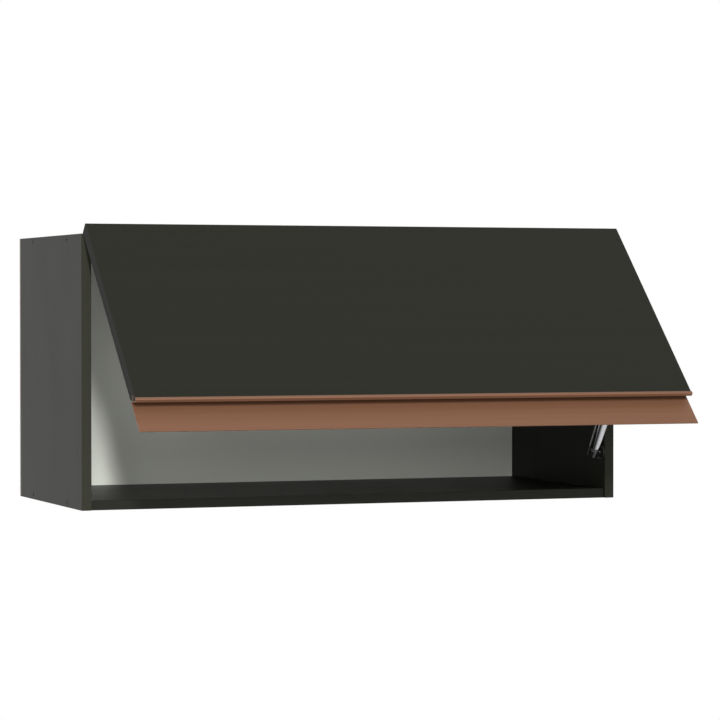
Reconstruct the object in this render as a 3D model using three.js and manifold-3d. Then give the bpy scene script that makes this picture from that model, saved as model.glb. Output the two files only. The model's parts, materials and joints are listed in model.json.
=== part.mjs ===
// A lift-up wall cabinet for a kitchen: a carcass of thin boards with a white
// back, one flap hung along its top edge, a copper-coloured handle profile on the
// flap's bevelled lower edge, and a gas strut on the right that holds it open.
//
// Millimetres, +Z up, the front looks along -Y. The origin is the centre of the
// face that lies on the wall. The flap is open, at the end of the strut's stroke.

import * as THREE from 'three';
import { mergeVertices } from 'three/addons/utils/BufferGeometryUtils.js';
import Module from 'manifold-3d';

const wasm = await Module();
wasm.setup();

// ---------------------------------------------------------------- dimensions

// Carcass
const WIDTH = 700;
const HEIGHT = 331;
const DEPTH = 300;              // over all, with the back panel
const BOARD = 12;
const BACK_THICKNESS = 3;
const FRONT_RECESS = 4;         // top and bottom boards behind the sides' front edges

// Flap, measured when it is shut
const FLAP_THICKNESS = 15;
const FLAP_SIDE_REVEAL = 1.5;   // cabinet side to flap end
const FLAP_TOP_REVEAL = 1;      // cabinet top to flap top
const FLAP_BOTTOM_REVEAL = 0;   // cabinet bottom to handle blade
const FLAP_GAP = 1.5;           // flap back to the sides' front edges
const OPEN_ANGLE = 46.1;        // degrees, the end of the strut's stroke

// Handle profile, one aluminium extrusion along the flap's lower edge
const BLADE_DROP = 49;          // blade tip to the top of the bevel, at the back
const PROFILE_WALL = 1.5;
const BEVEL_DEPTH = 12;         // how far forward the 45 degree web runs
const LIP_FLOOR = 2;
const LIP_PROUD = 2;            // nose in front of the flap's face
const LIP_HEIGHT = 4.4;
const LIP_TOP_WALL = 0.8;
const NOSE_BEVEL = 0.9;
const TONGUE_LENGTH = 7;
const TONGUE_THICKNESS = 1.6;

// Fits
const TURNED_GAP = 0.3;         // between pieces that are set at an angle together
const SCREW_GAP = 0.1;          // round a screw, nail or tenon in its hole
const RUNNING_GAP = 0.1;        // round a pin or rod that turns or slides
const PAST_FACE = 1;            // how far a cutting shape runs out of what it cuts
const RIM_TAPER = 0.8;          // narrow end of a chamfered rim, as a share of its radius

// Butt hinges on the top board's front edge
const HINGE_FROM_SIDE = 120;    // hinge's middle to the cabinet's side
const HINGE_LENGTH = 60;
const LEAF_THICKNESS = 1;
const LEAF_HEIGHT = 10.5;
const KNUCKLE_COUNT = 5;
const KNUCKLE_GAP = 0.3;
const KNUCKLE_CLEARANCE = 0.35; // knuckle to the boards on both sides
const HINGE_PIN_RADIUS = 1;
const HINGE_PIN_HEAD = 0.8;
const HINGE_SCREW_FROM_CENTRE = 20;
const HINGE_SCREW_DROP = 6.8;   // axis to screw

// Screws and nails: diameters and lengths
const ASSEMBLY_SCREW = { shank: 4.5, head: 7, length: 45, recess: 4 };
const HINGE_SCREW = { shank: 3, head: 5, length: 13, recess: 2.8 };
const PLATE_SCREW = { shank: 3, head: 5.6, length: 11, recess: 3 };
const NAIL = { shank: 1.6, head: 3.4, length: 16, recess: 0 };
const SCREW_TIP = 3;
const RECESS_WIDTH = 0.8;
const RECESS_DEPTH = 0.9;
const ASSEMBLY_FROM_FRONT = 68;
const ASSEMBLY_FROM_BACK = 68;
const NAIL_FROM_END = 60;

// Steel angles that hang the cabinet, in its upper rear corners
const HANGER_THICKNESS = 2;
const HANGER_FLANGE = 28;
const HANGER_LEG = 32;
const HANGER_HEIGHT = 45;
const HANGER_BELOW_TOP = 8;
const HANGER_SCREW_FROM_BACK = 19;
const HANGER_SCREW_SPREAD = 12;
const HANGER_HOLE_RADIUS = 3.5;
const HANGER_SLOT = 10;
const HANGER_SLOT_FROM_SIDE = 16;
const WALL_SCREW_HOLE = 9;      // hole in the back panel, radius, round the slot

// Gas strut on the right
const STRUT_OFFSET = 10;        // side's inner face to the strut's axis
const STRUT_BASE_BACK = 13;     // ball behind the sides' front edges
const STRUT_BASE_UP = 58.5;     // ball above the cabinet's bottom
const FLAP_PIN_DOWN = 144.8;    // pin below the hinge axis, along the flap
const FLAP_PIN_OUT = 12;        // pin off the flap's back
const BALL_RADIUS = 4;
const BALL_NECK_RADIUS = 2.4;
const BASE_PLATE_RADIUS = 12;
const BASE_PLATE_THICKNESS = 2;
const BASE_SCREW_SPREAD = 8;
const SOCKET_RADIUS = 7.2;
const SOCKET_END = 7;           // ball centre to the socket's closed end
const SOCKET_MOUTH = 7.5;       // ball centre to the tube
const SOCKET_ROUND = 1.5;
const TUBE_RADIUS = 7.5;
const TUBE_WALL = 1;
const TUBE_BOTTOM = 2;
const TUBE_LENGTH = 92;
const TUBE_STUB_RADIUS = 3;
const TUBE_STUB_LENGTH = 2.4;
const TUBE_CRIMP = 0.6;
const ROD_RADIUS = 3;
const GUIDE_LENGTH = 8;
const PISTON_LENGTH = 6;
const PISTON_STOP = 2;          // piston to guide at full stroke
const ROD_SOCKET_RADIUS = 6.5;
const ROD_SOCKET_HALF = 5;
const ROD_NECK_RADIUS = 4.6;
const ROD_NECK_LENGTH = 14;
const ROD_SEAT = 8;             // socket centre to the rod's end
const EAR_THICKNESS = 2;
const EAR_TO_SOCKET = 7;
const EAR_RADIUS = 7;
const BRACKET_WIDTH = 22;
const BRACKET_HEIGHT = 30;
const BRACKET_SCREW_SPREAD = 9;
const STUD_COLLAR_RADIUS = 4;
const STUD_TENON_RADIUS = 2.4;
const STUD_HEAD = 1;

// Bumpers on the flap's back
const BUMPER_RADIUS = 4;
const BUMPER_THICKNESS = 0.9;
const BUMPER_ABOVE_BEVEL = 19;

// Facets round a circle, and steps along a ball's outline
const FINE = 24;
const MEDIUM = 18;
const COARSE = 16;
const BALL_STEPS = 9;

const WELD_DISTANCE = 1e-4;     // corners nearer than this are one corner

// ------------------------------------------------------------ derived places

const RIGHT = WIDTH / 2;
const INNER = RIGHT - BOARD;
const TOP = HEIGHT / 2;
const BOTTOM = -TOP;
const FRONT = -DEPTH;
const BACK_FACE = -BACK_THICKNESS;
const HINGE_X = RIGHT - HINGE_FROM_SIDE;
const ROW_FRONT = FRONT + ASSEMBLY_FROM_FRONT;
const ROW_REAR = -ASSEMBLY_FROM_BACK;

const HALF_GAP = (FRONT_RECESS + FLAP_GAP) / 2;   // hinge axis to board edge and to flap
const AXIS_Y = FRONT + FRONT_RECESS - HALF_GAP;
const AXIS_Z = TOP - FLAP_TOP_REVEAL;
const FLAP_WIDTH = WIDTH - 2 * FLAP_SIDE_REVEAL;
const FLAP_HEIGHT = HEIGHT - FLAP_TOP_REVEAL - FLAP_BOTTOM_REVEAL;
const OPEN = THREE.MathUtils.degToRad(OPEN_ANGLE);

const STRUT_X = INNER - STRUT_OFFSET;
const BASE_Y = FRONT + STRUT_BASE_BACK;
const BASE_Z = BOTTOM + STRUT_BASE_UP;

// ----------------------------------------------------------------- materials

function finish(color, roughness, metalness = 0) {
  return () => new THREE.MeshStandardMaterial({ color, roughness, metalness });
}
const graphiteBoard = finish(0x33332e, 0.55);
const whiteBoard = finish(0xd9dbd4, 0.6);
const copperAluminium = finish(0x8a5e49, 0.4, 0.8);
const steel = finish(0x9a9b9c, 0.35, 1);
const polishedSteel = finish(0xd8d9da, 0.12, 1);
const blackPlastic = finish(0x161616, 0.45);
const screwSteel = finish(0x4a4a48, 0.4, 1);
const clearRubber = finish(0xb9bcb8, 0.5);

// ------------------------------------------------------------ solid geometry

// A closed solid from any closed three.js geometry, with its faces turned out.
function solid(geometry) {
  const bare = geometry.clone();
  bare.deleteAttribute('normal');
  bare.deleteAttribute('uv');
  const merged = mergeVertices(bare, WELD_DISTANCE);
  const corners = merged.index.array;
  const kept = [];
  for (let i = 0; i < corners.length; i += 3) {
    const [a, b, c] = corners.slice(i, i + 3);
    if (a !== b && b !== c && c !== a) {
      kept.push(a, b, c);
    }
  }
  const points = merged.attributes.position.array;
  if (signedVolume(points, kept) < 0) {
    kept.reverse();
  }
  const mesh = { numProp: 3, vertProperties: points, triVerts: new Uint32Array(kept) };
  return new wasm.Manifold(new wasm.Mesh(mesh));
}

function signedVolume(points, corners) {
  const at = (i) => new THREE.Vector3().fromArray(points, 3 * i);
  let total = 0;
  for (let i = 0; i < corners.length; i += 3) {
    total += at(corners[i]).dot(at(corners[i + 1]).cross(at(corners[i + 2])));
  }
  return total / 6;
}

function geometryOf(manifold) {
  const mesh = manifold.getMesh();
  const geometry = new THREE.BufferGeometry();
  geometry.setAttribute('position', new THREE.BufferAttribute(mesh.vertProperties, 3));
  geometry.setIndex(new THREE.BufferAttribute(mesh.triVerts, 1));
  geometry.computeVertexNormals();
  return geometry;
}

function cut(body, tools) {
  return tools.reduce((rest, tool) => rest.subtract(solid(tool)), body);
}

function join(shapes) {
  return shapes.map(solid).reduce((whole, next) => whole.add(next));
}

function box(low, high) {
  const size = high.map((value, i) => value - low[i]);
  const centre = high.map((value, i) => (value + low[i]) / 2);
  return new THREE.BoxGeometry(...size).translate(...centre);
}

// A turned shape: outline points are [radius, height], and the axis is Z.
function turned(outline, facets = FINE) {
  const points = outline.map(([radius, height]) => new THREE.Vector2(radius, height));
  return new THREE.LatheGeometry(points, facets).rotateX(Math.PI / 2);
}

function rod(radius, from, to, facets = FINE) {
  return turned([[0, from], [radius, from], [radius, to], [0, to]], facets);
}

function ring(outer, inner, from, to, facets = FINE) {
  return turned([[inner, from], [outer, from], [outer, to], [inner, to], [inner, from]], facets);
}

// Turns a shape whose axis is Z so that its axis is X, with +Z going to +X.
function alongX(geometry) {
  return geometry.rotateY(Math.PI / 2);
}

// An outline in the Y-Z plane, drawn out along X between two places.
function drawnAlongX(outline, from, to) {
  const shape = new THREE.Shape(outline.map(([y, z]) => new THREE.Vector2(y, z)));
  const settings = { depth: to - from, bevelEnabled: false };
  const toWorld = new THREE.Matrix4().makeBasis(
    new THREE.Vector3(0, 1, 0), new THREE.Vector3(0, 0, 1), new THREE.Vector3(1, 0, 0));
  return new THREE.ExtrudeGeometry(shape, settings).applyMatrix4(toWorld).translate(from, 0, 0);
}

function mesh(name, geometry, material, position = [0, 0, 0]) {
  const piece = new THREE.Mesh(geometry, material());
  piece.name = name;
  piece.position.set(...position);
  return piece;
}

// A mesh of a solid that is modelled where it stands.
function standing(name, manifold, material, centre) {
  const [x, y, z] = centre;
  return mesh(name, geometryOf(manifold).translate(-x, -y, -z), material, centre);
}

// -------------------------------------------------------------------- screws

const SCREW_AXIS = new THREE.Vector3(0, 0, -1);

function screwOutline(size, gap) {
  const head = size.head / 2 + gap;
  const shank = size.shank / 2 + gap;
  const cone = (size.head - size.shank) / 2;
  return [[head, 0], [shank, -cone], [shank, SCREW_TIP - size.length], [0, -size.length - gap]];
}

function screwBody(size) {
  const body = solid(turned([[0, 0], ...screwOutline(size, 0)], COARSE));
  if (size.recess === 0) {
    return body;
  }
  const slots = [[size.recess, RECESS_WIDTH], [RECESS_WIDTH, size.recess]];
  return cut(body, slots.map(([x, y]) => new THREE.BoxGeometry(x, y, 2 * RECESS_DEPTH)));
}

function aim(geometry, screw) {
  const turn = new THREE.Quaternion().setFromUnitVectors(SCREW_AXIS, screw.into);
  return geometry.applyQuaternion(turn).translate(screw.at.x, screw.at.y, screw.at.z);
}

// The hole that a screw sits in, open past the head.
function screwHole(screw) {
  const outline = screwOutline(screw.size, SCREW_GAP);
  const mouth = outline[0][0];
  return aim(turned([[0, PAST_FACE], [mouth, PAST_FACE], ...outline], COARSE), screw);
}

function screwMesh(screw) {
  const piece = mesh(screw.name, geometryOf(screwBody(screw.size)), screwSteel);
  piece.position.copy(screw.at);
  piece.quaternion.setFromUnitVectors(SCREW_AXIS, screw.into);
  return piece;
}

function screwAt(name, size, at, into) {
  return { name, size, at: new THREE.Vector3(...at), into: new THREE.Vector3(...into) };
}

// ------------------------------------------------------------- fastener rows

const SIDES = [['left', -1], ['right', 1]];
const LEVELS = [['top', 1], ['bottom', -1]];

function assemblyScrews(side, sign) {
  const rows = [['front', ROW_FRONT], ['rear', ROW_REAR]];
  return LEVELS.flatMap(([level, up]) => rows.map(([row, y]) => {
    const at = [sign * RIGHT, y, up * (TOP - BOARD / 2)];
    return screwAt(`${side}_${level}_${row}_screw`, ASSEMBLY_SCREW, at, [-sign, 0, 0]);
  }));
}

function backNails() {
  const places = [];
  for (const [level, up] of LEVELS) {
    for (const [part, x] of [['left', -1], ['middle', 0], ['right', 1]]) {
      places.push([`${level}_${part}`, x * (RIGHT - NAIL_FROM_END), up * (TOP - BOARD / 2)]);
    }
  }
  for (const [side, sign] of SIDES) {
    places.push([`${side}_side`, sign * (RIGHT - BOARD / 2), 0]);
  }
  return places.map(([place, x, z]) => screwAt(`back_nail_${place}`, NAIL, [x, 0, z], [0, -1, 0]));
}

const HANGER_TOP = TOP - BOARD - HANGER_BELOW_TOP;
const HANGER_MIDDLE = HANGER_TOP - HANGER_HEIGHT / 2;

function hangerScrews(side, sign) {
  return LEVELS.map(([level, up]) => {
    const x = sign * (INNER - HANGER_THICKNESS);
    const at = [x, BACK_FACE - HANGER_SCREW_FROM_BACK, HANGER_MIDDLE + up * HANGER_SCREW_SPREAD];
    return screwAt(`${side}_hanger_${level}_screw`, PLATE_SCREW, at, [sign, 0, 0]);
  });
}

function basePlateScrews() {
  return LEVELS.map(([level, up]) => {
    const at = [INNER - BASE_PLATE_THICKNESS, BASE_Y, BASE_Z + up * BASE_SCREW_SPREAD];
    return screwAt(`strut_base_${level}_screw`, PLATE_SCREW, at, [1, 0, 0]);
  });
}

// Screws through the frame leaf into the top board's edge, in the hinge's frame.
function frameLeafScrews(side) {
  return leafScrews(`${side}_hinge_frame`, HALF_GAP - LEAF_THICKNESS, 1);
}

// Screws through the flap leaf into the flap's back, in the hinge's frame.
function flapLeafScrews(side) {
  return leafScrews(`${side}_hinge_flap`, LEAF_THICKNESS + TURNED_GAP - HALF_GAP, -1);
}

function leafScrews(prefix, y, into) {
  return SIDES.map(([end, sign]) => {
    const at = [sign * HINGE_SCREW_FROM_CENTRE, y, -HINGE_SCREW_DROP];
    return screwAt(`${prefix}_${end}_screw`, HINGE_SCREW, at, [0, into, 0]);
  });
}

// Screws of one hinge moved to where that hinge is along X.
function shifted(screws, x, y = 0, z = 0) {
  const offset = new THREE.Vector3(x, y, z);
  return screws.map((screw) => ({ ...screw, at: screw.at.clone().add(offset) }));
}

// ------------------------------------------------------------------- carcass

function sidePanel(side, sign, screws) {
  const low = [sign > 0 ? INNER : -RIGHT, FRONT, BOTTOM];
  const high = [sign > 0 ? RIGHT : -INNER, BACK_FACE, TOP];
  const panel = cut(solid(box(low, high)), screws.map(screwHole));
  const centre = [sign * (RIGHT - BOARD / 2), (FRONT + BACK_FACE) / 2, 0];
  return standing(`${side}_side_panel`, panel, graphiteBoard, centre);
}

function levelPanel(level, up, screws) {
  const middle = up * (TOP - BOARD / 2);
  const low = [-INNER, FRONT + FRONT_RECESS, middle - BOARD / 2];
  const high = [INNER, BACK_FACE, middle + BOARD / 2];
  const panel = cut(solid(box(low, high)), screws.map(screwHole));
  const centre = [0, (low[1] + high[1]) / 2, middle];
  return standing(`${level}_panel`, panel, graphiteBoard, centre);
}

function backPanel(nails) {
  const sheet = solid(box([-RIGHT, BACK_FACE, BOTTOM], [RIGHT, 0, TOP]));
  const openings = SIDES.map(([, sign]) => {
    const hole = rod(WALL_SCREW_HOLE, -BACK_THICKNESS, BACK_THICKNESS).rotateX(Math.PI / 2);
    return hole.translate(sign * (INNER - HANGER_SLOT_FROM_SIDE), BACK_FACE / 2, HANGER_MIDDLE);
  });
  const panel = cut(sheet, [...nails.map(screwHole), ...openings]);
  return standing('back_panel', panel, whiteBoard, [0, BACK_FACE / 2, 0]);
}

// An angle: one leg on the side, one flange on the back with an upright slot.
function hanger(side, sign, screws) {
  const bottom = HANGER_TOP - HANGER_HEIGHT;
  const legX = [sign * INNER, sign * (INNER - HANGER_THICKNESS)].sort((a, b) => a - b);
  const flangeX = [sign * INNER, sign * (INNER - HANGER_FLANGE)].sort((a, b) => a - b);
  const leg = box([legX[0], BACK_FACE - HANGER_LEG, bottom], [legX[1], BACK_FACE, HANGER_TOP]);
  const flangeFront = BACK_FACE - HANGER_THICKNESS;
  const flange = box([flangeX[0], flangeFront, bottom], [flangeX[1], BACK_FACE, HANGER_TOP]);
  const slotX = sign * (INNER - HANGER_SLOT_FROM_SIDE);
  const slot = hangerSlot().translate(slotX, BACK_FACE, HANGER_MIDDLE);
  const angle = cut(join([leg, flange]), [...screws.map(screwHole), slot]);
  const centre = [sign * INNER, BACK_FACE, HANGER_MIDDLE];
  return standing(`${side}_hanger`, angle, steel, centre);
}

function hangerSlot() {
  const half = (HANGER_SLOT / 2) - HANGER_HOLE_RADIUS / 2;
  const shape = new THREE.Shape();
  shape.absarc(0, half, HANGER_HOLE_RADIUS, 0, Math.PI);
  shape.absarc(0, -half, HANGER_HOLE_RADIUS, Math.PI, 2 * Math.PI);
  const depth = 4 * HANGER_THICKNESS;
  const settings = { depth, bevelEnabled: false, curveSegments: COARSE / 2 };
  return new THREE.ExtrudeGeometry(shape, settings).translate(0, 0, -depth / 2).rotateX(Math.PI / 2);
}

// -------------------------------------------------------------------- hinges

const KNUCKLE_RADIUS = HALF_GAP - KNUCKLE_CLEARANCE;
const KNUCKLE_PITCH = (HINGE_LENGTH + KNUCKLE_GAP) / KNUCKLE_COUNT;
const NOTCH_DROP = KNUCKLE_RADIUS + 2 * KNUCKLE_GAP;   // below the axis
const NOTCH_REACH = 2 * HALF_GAP;                      // past the leaf on the other sides
const PIN_BORE = HINGE_PIN_RADIUS + RUNNING_GAP;

function knuckleSpan(index) {
  const start = -HINGE_LENGTH / 2 + index * KNUCKLE_PITCH;
  return [start, start + KNUCKLE_PITCH - KNUCKLE_GAP];
}

// One leaf in the hinge's frame: the pin runs along X and the plate hangs below it.
function hingeLeaf(plateNear, plateFar, ownParity, screws) {
  const low = Math.min(plateNear, plateFar);
  const high = Math.max(plateNear, plateFar);
  const half = HINGE_LENGTH / 2;
  const shapes = [box([-half, low, -LEAF_HEIGHT], [half, high, 0])];
  const notches = [];
  for (let index = 0; index < KNUCKLE_COUNT; index += 1) {
    const [start, end] = knuckleSpan(index);
    if (index % 2 === ownParity) {
      shapes.push(alongX(rod(KNUCKLE_RADIUS, start, end)));
    } else {
      const from = [start - KNUCKLE_GAP, -NOTCH_REACH, -NOTCH_DROP];
      notches.push(box(from, [end + KNUCKLE_GAP, NOTCH_REACH, NOTCH_REACH]));
    }
  }
  const bore = alongX(rod(PIN_BORE, -HINGE_LENGTH, HINGE_LENGTH));
  return cut(join(shapes), [...notches, bore, ...screws.map(screwHole)]);
}

function hingePin(side, x) {
  const half = HINGE_LENGTH / 2;
  const head = KNUCKLE_RADIUS * RIM_TAPER;
  const headStart = half + RUNNING_GAP;
  const outline = [[0, -half], [HINGE_PIN_RADIUS, -half], [HINGE_PIN_RADIUS, headStart],
    [head, headStart], [head, headStart + HINGE_PIN_HEAD / 2],
    [HINGE_PIN_RADIUS, headStart + HINGE_PIN_HEAD], [0, headStart + HINGE_PIN_HEAD]];
  const pin = alongX(turned(outline, MEDIUM));
  return mesh(`${side}_hinge_pin`, pin, steel, [x, AXIS_Y, AXIS_Z]);
}

function frameLeaf(side, x) {
  const screws = frameLeafScrews(side);
  const leaf = hingeLeaf(HALF_GAP - LEAF_THICKNESS, HALF_GAP, 0, screws);
  return mesh(`${side}_hinge_frame_leaf`, geometryOf(leaf), steel, [x, AXIS_Y, AXIS_Z]);
}

function flapLeaf(side, x) {
  const back = TURNED_GAP - HALF_GAP;
  const leaf = hingeLeaf(back, back + LEAF_THICKNESS, 1, flapLeafScrews(side));
  return mesh(`${side}_hinge_flap_leaf`, geometryOf(leaf), steel, [x, 0, 0]);
}

// ---------------------------------------------------------------------- flap

// The flap's frame has the hinge axis as X. Its outlines are given as
// [v, u]: v forward from the flap's back, u down from its top.
function flapOutline(points) {
  return points.map(([v, u]) => [-HALF_GAP - v, -u]);
}

const SLOPE = Math.SQRT1_2;
const WEB_TOP = FLAP_HEIGHT - BLADE_DROP;              // web's upper face, at v = 0
const WEB_UNDER = WEB_TOP + PROFILE_WALL / SLOPE;      // web's lower face, at v = 0
const LIP_BOTTOM = WEB_UNDER + BEVEL_DEPTH;
const LIP_INSIDE = LIP_BOTTOM - LIP_FLOOR;
const TONGUE_ROOT = BEVEL_DEPTH / 2;

// Corners of the tongue, or of its kerf, from near the back to near the front.
function tongueCorners(thickness, length) {
  const side = SLOPE * thickness / 2;
  const reach = SLOPE * length;
  const root = [TONGUE_ROOT, WEB_TOP + TONGUE_ROOT];
  return [[root[0] - side, root[1] - side], [root[0] + reach - side, root[1] - reach - side],
    [root[0] + reach + side, root[1] - reach + side], [root[0] + side, root[1] + side]];
}

function handleProfile() {
  const inner = FLAP_THICKNESS + TURNED_GAP;
  const nose = FLAP_THICKNESS + LIP_PROUD;
  const outline = [[0, FLAP_HEIGHT], [0, WEB_TOP],
    ...tongueCorners(TONGUE_THICKNESS, TONGUE_LENGTH),
    [LIP_INSIDE - WEB_TOP, LIP_INSIDE], [inner, LIP_INSIDE], [inner, LIP_BOTTOM - LIP_HEIGHT],
    [inner + LIP_TOP_WALL, LIP_BOTTOM - LIP_HEIGHT], [nose, LIP_BOTTOM - NOSE_BEVEL],
    [nose - NOSE_BEVEL, LIP_BOTTOM], [BEVEL_DEPTH, LIP_BOTTOM],
    [PROFILE_WALL, WEB_UNDER + PROFILE_WALL], [PROFILE_WALL, FLAP_HEIGHT]];
  const half = FLAP_WIDTH / 2;
  const profile = drawnAlongX(flapOutline(outline), -half, half);
  return mesh('handle_profile', geometryOf(solid(profile)), copperAluminium);
}

function flapBoard(screws) {
  const bevelTop = WEB_TOP - TURNED_GAP / SLOPE;
  const tip = LIP_INSIDE - TURNED_GAP;
  const outline = [[0, 0], [FLAP_THICKNESS, 0], [FLAP_THICKNESS, tip], [tip - bevelTop, tip],
    [0, bevelTop]];
  const half = FLAP_WIDTH / 2;
  const board = solid(drawnAlongX(flapOutline(outline), -half, half));
  const kerfOutline = tongueCorners(TONGUE_THICKNESS + 2 * TURNED_GAP, TONGUE_LENGTH + TURNED_GAP);
  const spread = 2 * TURNED_GAP;
  kerfOutline[0] = [kerfOutline[0][0] - spread, kerfOutline[0][1] + spread];
  kerfOutline[3] = [kerfOutline[3][0] - spread, kerfOutline[3][1] + spread];
  const kerf = drawnAlongX(flapOutline(kerfOutline), -WIDTH, WIDTH);
  const shaped = cut(board, [kerf, ...screws.map(screwHole)]);
  return mesh('flap_board', geometryOf(shaped), graphiteBoard);
}

function bumper(side, sign) {
  const seat = TURNED_GAP - HALF_GAP;
  const disc = turned([[0, 0], [BUMPER_RADIUS, 0], [BUMPER_RADIUS, BUMPER_THICKNESS / 2],
    [BUMPER_RADIUS * RIM_TAPER, BUMPER_THICKNESS], [0, BUMPER_THICKNESS]], MEDIUM);
  const place = [sign * (RIGHT - BOARD / 2), seat, BUMPER_ABOVE_BEVEL - WEB_TOP];
  return mesh(`${side}_bumper`, geometryOf(solid(disc.rotateX(-Math.PI / 2))), clearRubber, place);
}

// ------------------------------------------------------------ strut geometry

// The flap's pin in the flap's frame, and where it is in the cabinet's Y-Z plane
// when the flap is turned up by an angle.
const PIN_Y = FLAP_PIN_OUT - HALF_GAP;

function pinPlace(angle) {
  const pin = new THREE.Vector3(0, PIN_Y, -FLAP_PIN_DOWN);
  pin.applyAxisAngle(new THREE.Vector3(1, 0, 0), -angle);
  return pin.add(new THREE.Vector3(0, AXIS_Y, AXIS_Z));
}

const BASE = new THREE.Vector3(0, BASE_Y, BASE_Z);
const STRUT_LINE = pinPlace(OPEN).sub(BASE);
const STRUT_LENGTH = STRUT_LINE.length();
const STRUT_LEAN = Math.atan2(-STRUT_LINE.y, STRUT_LINE.z);

const TUBE_START = SOCKET_MOUTH + TURNED_GAP;
const TUBE_END = TUBE_START + TUBE_LENGTH;
const BORE_RADIUS = TUBE_RADIUS - TUBE_WALL;
const GUIDE_END = TUBE_END - TUBE_CRIMP - TURNED_GAP;
const PISTON_END = GUIDE_END - GUIDE_LENGTH - PISTON_STOP;

// A ball on a neck: the ball's centre is the origin and the neck runs along +X.
function ballStud() {
  const neckEnd = STRUT_OFFSET - SCREW_GAP;
  const joint = Math.sqrt(BALL_RADIUS ** 2 - BALL_NECK_RADIUS ** 2);
  const outline = [];
  const last = Math.acos(joint / BALL_RADIUS);
  for (let step = 0; step <= BALL_STEPS; step += 1) {
    const turn = THREE.MathUtils.lerp(Math.PI, last, step / BALL_STEPS);
    outline.push([BALL_RADIUS * Math.sin(turn), BALL_RADIUS * Math.cos(turn)]);
  }
  outline[0] = [0, -BALL_RADIUS];
  outline.push([BALL_NECK_RADIUS, neckEnd], [0, neckEnd]);
  const stud = alongX(turned(outline, MEDIUM));
  return mesh('strut_base_ball_stud', stud, steel, [STRUT_X, BASE_Y, BASE_Z]);
}

function basePlate(screws) {
  const outer = INNER - BASE_PLATE_THICKNESS;
  const disc = alongX(rod(BASE_PLATE_RADIUS, outer, INNER)).translate(0, BASE_Y, BASE_Z);
  const bore = BALL_NECK_RADIUS + SCREW_GAP;
  const tenon = alongX(rod(bore, outer - PAST_FACE, INNER + PAST_FACE));
  const plate = cut(solid(disc), [tenon.translate(0, BASE_Y, BASE_Z), ...screws.map(screwHole)]);
  return standing('strut_base_plate', plate, blackPlastic, [INNER, BASE_Y, BASE_Z]);
}

// The end fitting on the tube: a cup for the ball, open towards the side panel.
function baseSocket() {
  const shoulder = SOCKET_RADIUS - SOCKET_ROUND;
  const cap = turned([[0, -SOCKET_END], [shoulder, -SOCKET_END],
    [SOCKET_RADIUS, SOCKET_ROUND - SOCKET_END], [SOCKET_RADIUS, SOCKET_MOUTH], [0, SOCKET_MOUTH]]);
  const cup = BALL_RADIUS + TURNED_GAP;
  const ball = new THREE.SphereGeometry(cup, MEDIUM, MEDIUM / 2).rotateZ(Math.PI / 2);
  const mouth = alongX(rod(cup, 0, 2 * SOCKET_RADIUS));
  const stub = rod(TUBE_STUB_RADIUS + TURNED_GAP, SOCKET_MOUTH - TUBE_STUB_LENGTH - TURNED_GAP,
    2 * SOCKET_MOUTH);
  return mesh('strut_base_socket', geometryOf(cut(solid(cap), [ball, mouth, stub])), blackPlastic);
}

function tube() {
  const stubEnd = TUBE_START - TUBE_STUB_LENGTH;
  const floor = TUBE_START + TUBE_BOTTOM;
  const outline = [[0, stubEnd], [TUBE_STUB_RADIUS, stubEnd], [TUBE_STUB_RADIUS, TUBE_START],
    [TUBE_RADIUS, TUBE_START], [TUBE_RADIUS, TUBE_END - TUBE_CRIMP],
    [TUBE_RADIUS - TUBE_CRIMP, TUBE_END], [BORE_RADIUS - TUBE_CRIMP, TUBE_END],
    [BORE_RADIUS, TUBE_END - TUBE_CRIMP], [BORE_RADIUS, floor], [0, floor]];
  return mesh('strut_tube', geometryOf(solid(turned(outline))), polishedSteel);
}

function rodGuide() {
  const outer = BORE_RADIUS - SCREW_GAP;
  const guide = ring(outer, ROD_RADIUS + RUNNING_GAP, GUIDE_END - GUIDE_LENGTH, GUIDE_END);
  return mesh('strut_rod_guide', geometryOf(solid(guide)), blackPlastic);
}

// The piston and rod, measured from the base ball along the strut.
function piston() {
  const outer = BORE_RADIUS - SCREW_GAP;
  const start = PISTON_END - PISTON_LENGTH;
  const disc = ring(outer, ROD_RADIUS + SCREW_GAP, start, PISTON_END);
  return mesh('strut_piston', geometryOf(solid(disc)), steel);
}

function strutRod() {
  const start = PISTON_END - PISTON_LENGTH;
  const end = STRUT_LENGTH - ROD_SEAT;
  return mesh('strut_rod', geometryOf(solid(rod(ROD_RADIUS, start, end))), polishedSteel);
}

// The rod's end fitting: its barrel lies along X and its neck takes the rod.
function rodSocket() {
  const flat = ROD_SOCKET_HALF - SOCKET_ROUND;
  const rim = ROD_SOCKET_RADIUS - SOCKET_ROUND;
  const barrel = alongX(turned([[0, -ROD_SOCKET_HALF], [rim, -ROD_SOCKET_HALF],
    [ROD_SOCKET_RADIUS, -flat], [ROD_SOCKET_RADIUS, flat], [rim, ROD_SOCKET_HALF],
    [0, ROD_SOCKET_HALF]]));
  const neck = rod(ROD_NECK_RADIUS, -ROD_NECK_LENGTH, 0);
  const seat = rod(ROD_RADIUS + SCREW_GAP, -2 * ROD_NECK_LENGTH, TURNED_GAP - ROD_SEAT);
  const socket = cut(join([barrel, neck]), [seat]);
  return mesh('strut_rod_socket', geometryOf(socket), blackPlastic, [0, 0, STRUT_LENGTH]);
}

// --------------------------------------------- bracket on the flap, in its frame

const EAR_FACE = STRUT_X - ROD_SOCKET_HALF - EAR_TO_SOCKET;   // towards the strut
const BRACKET_BACK = TURNED_GAP - HALF_GAP;

function bracketScrews() {
  return LEVELS.map(([level, up]) => {
    const x = EAR_FACE - EAR_THICKNESS - (BRACKET_WIDTH - EAR_THICKNESS) / 2;
    const z = -FLAP_PIN_DOWN + up * BRACKET_SCREW_SPREAD;
    const at = [x, BRACKET_BACK + EAR_THICKNESS, z];
    return screwAt(`flap_bracket_${level}_screw`, PLATE_SCREW, at, [0, -1, 0]);
  });
}

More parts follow.
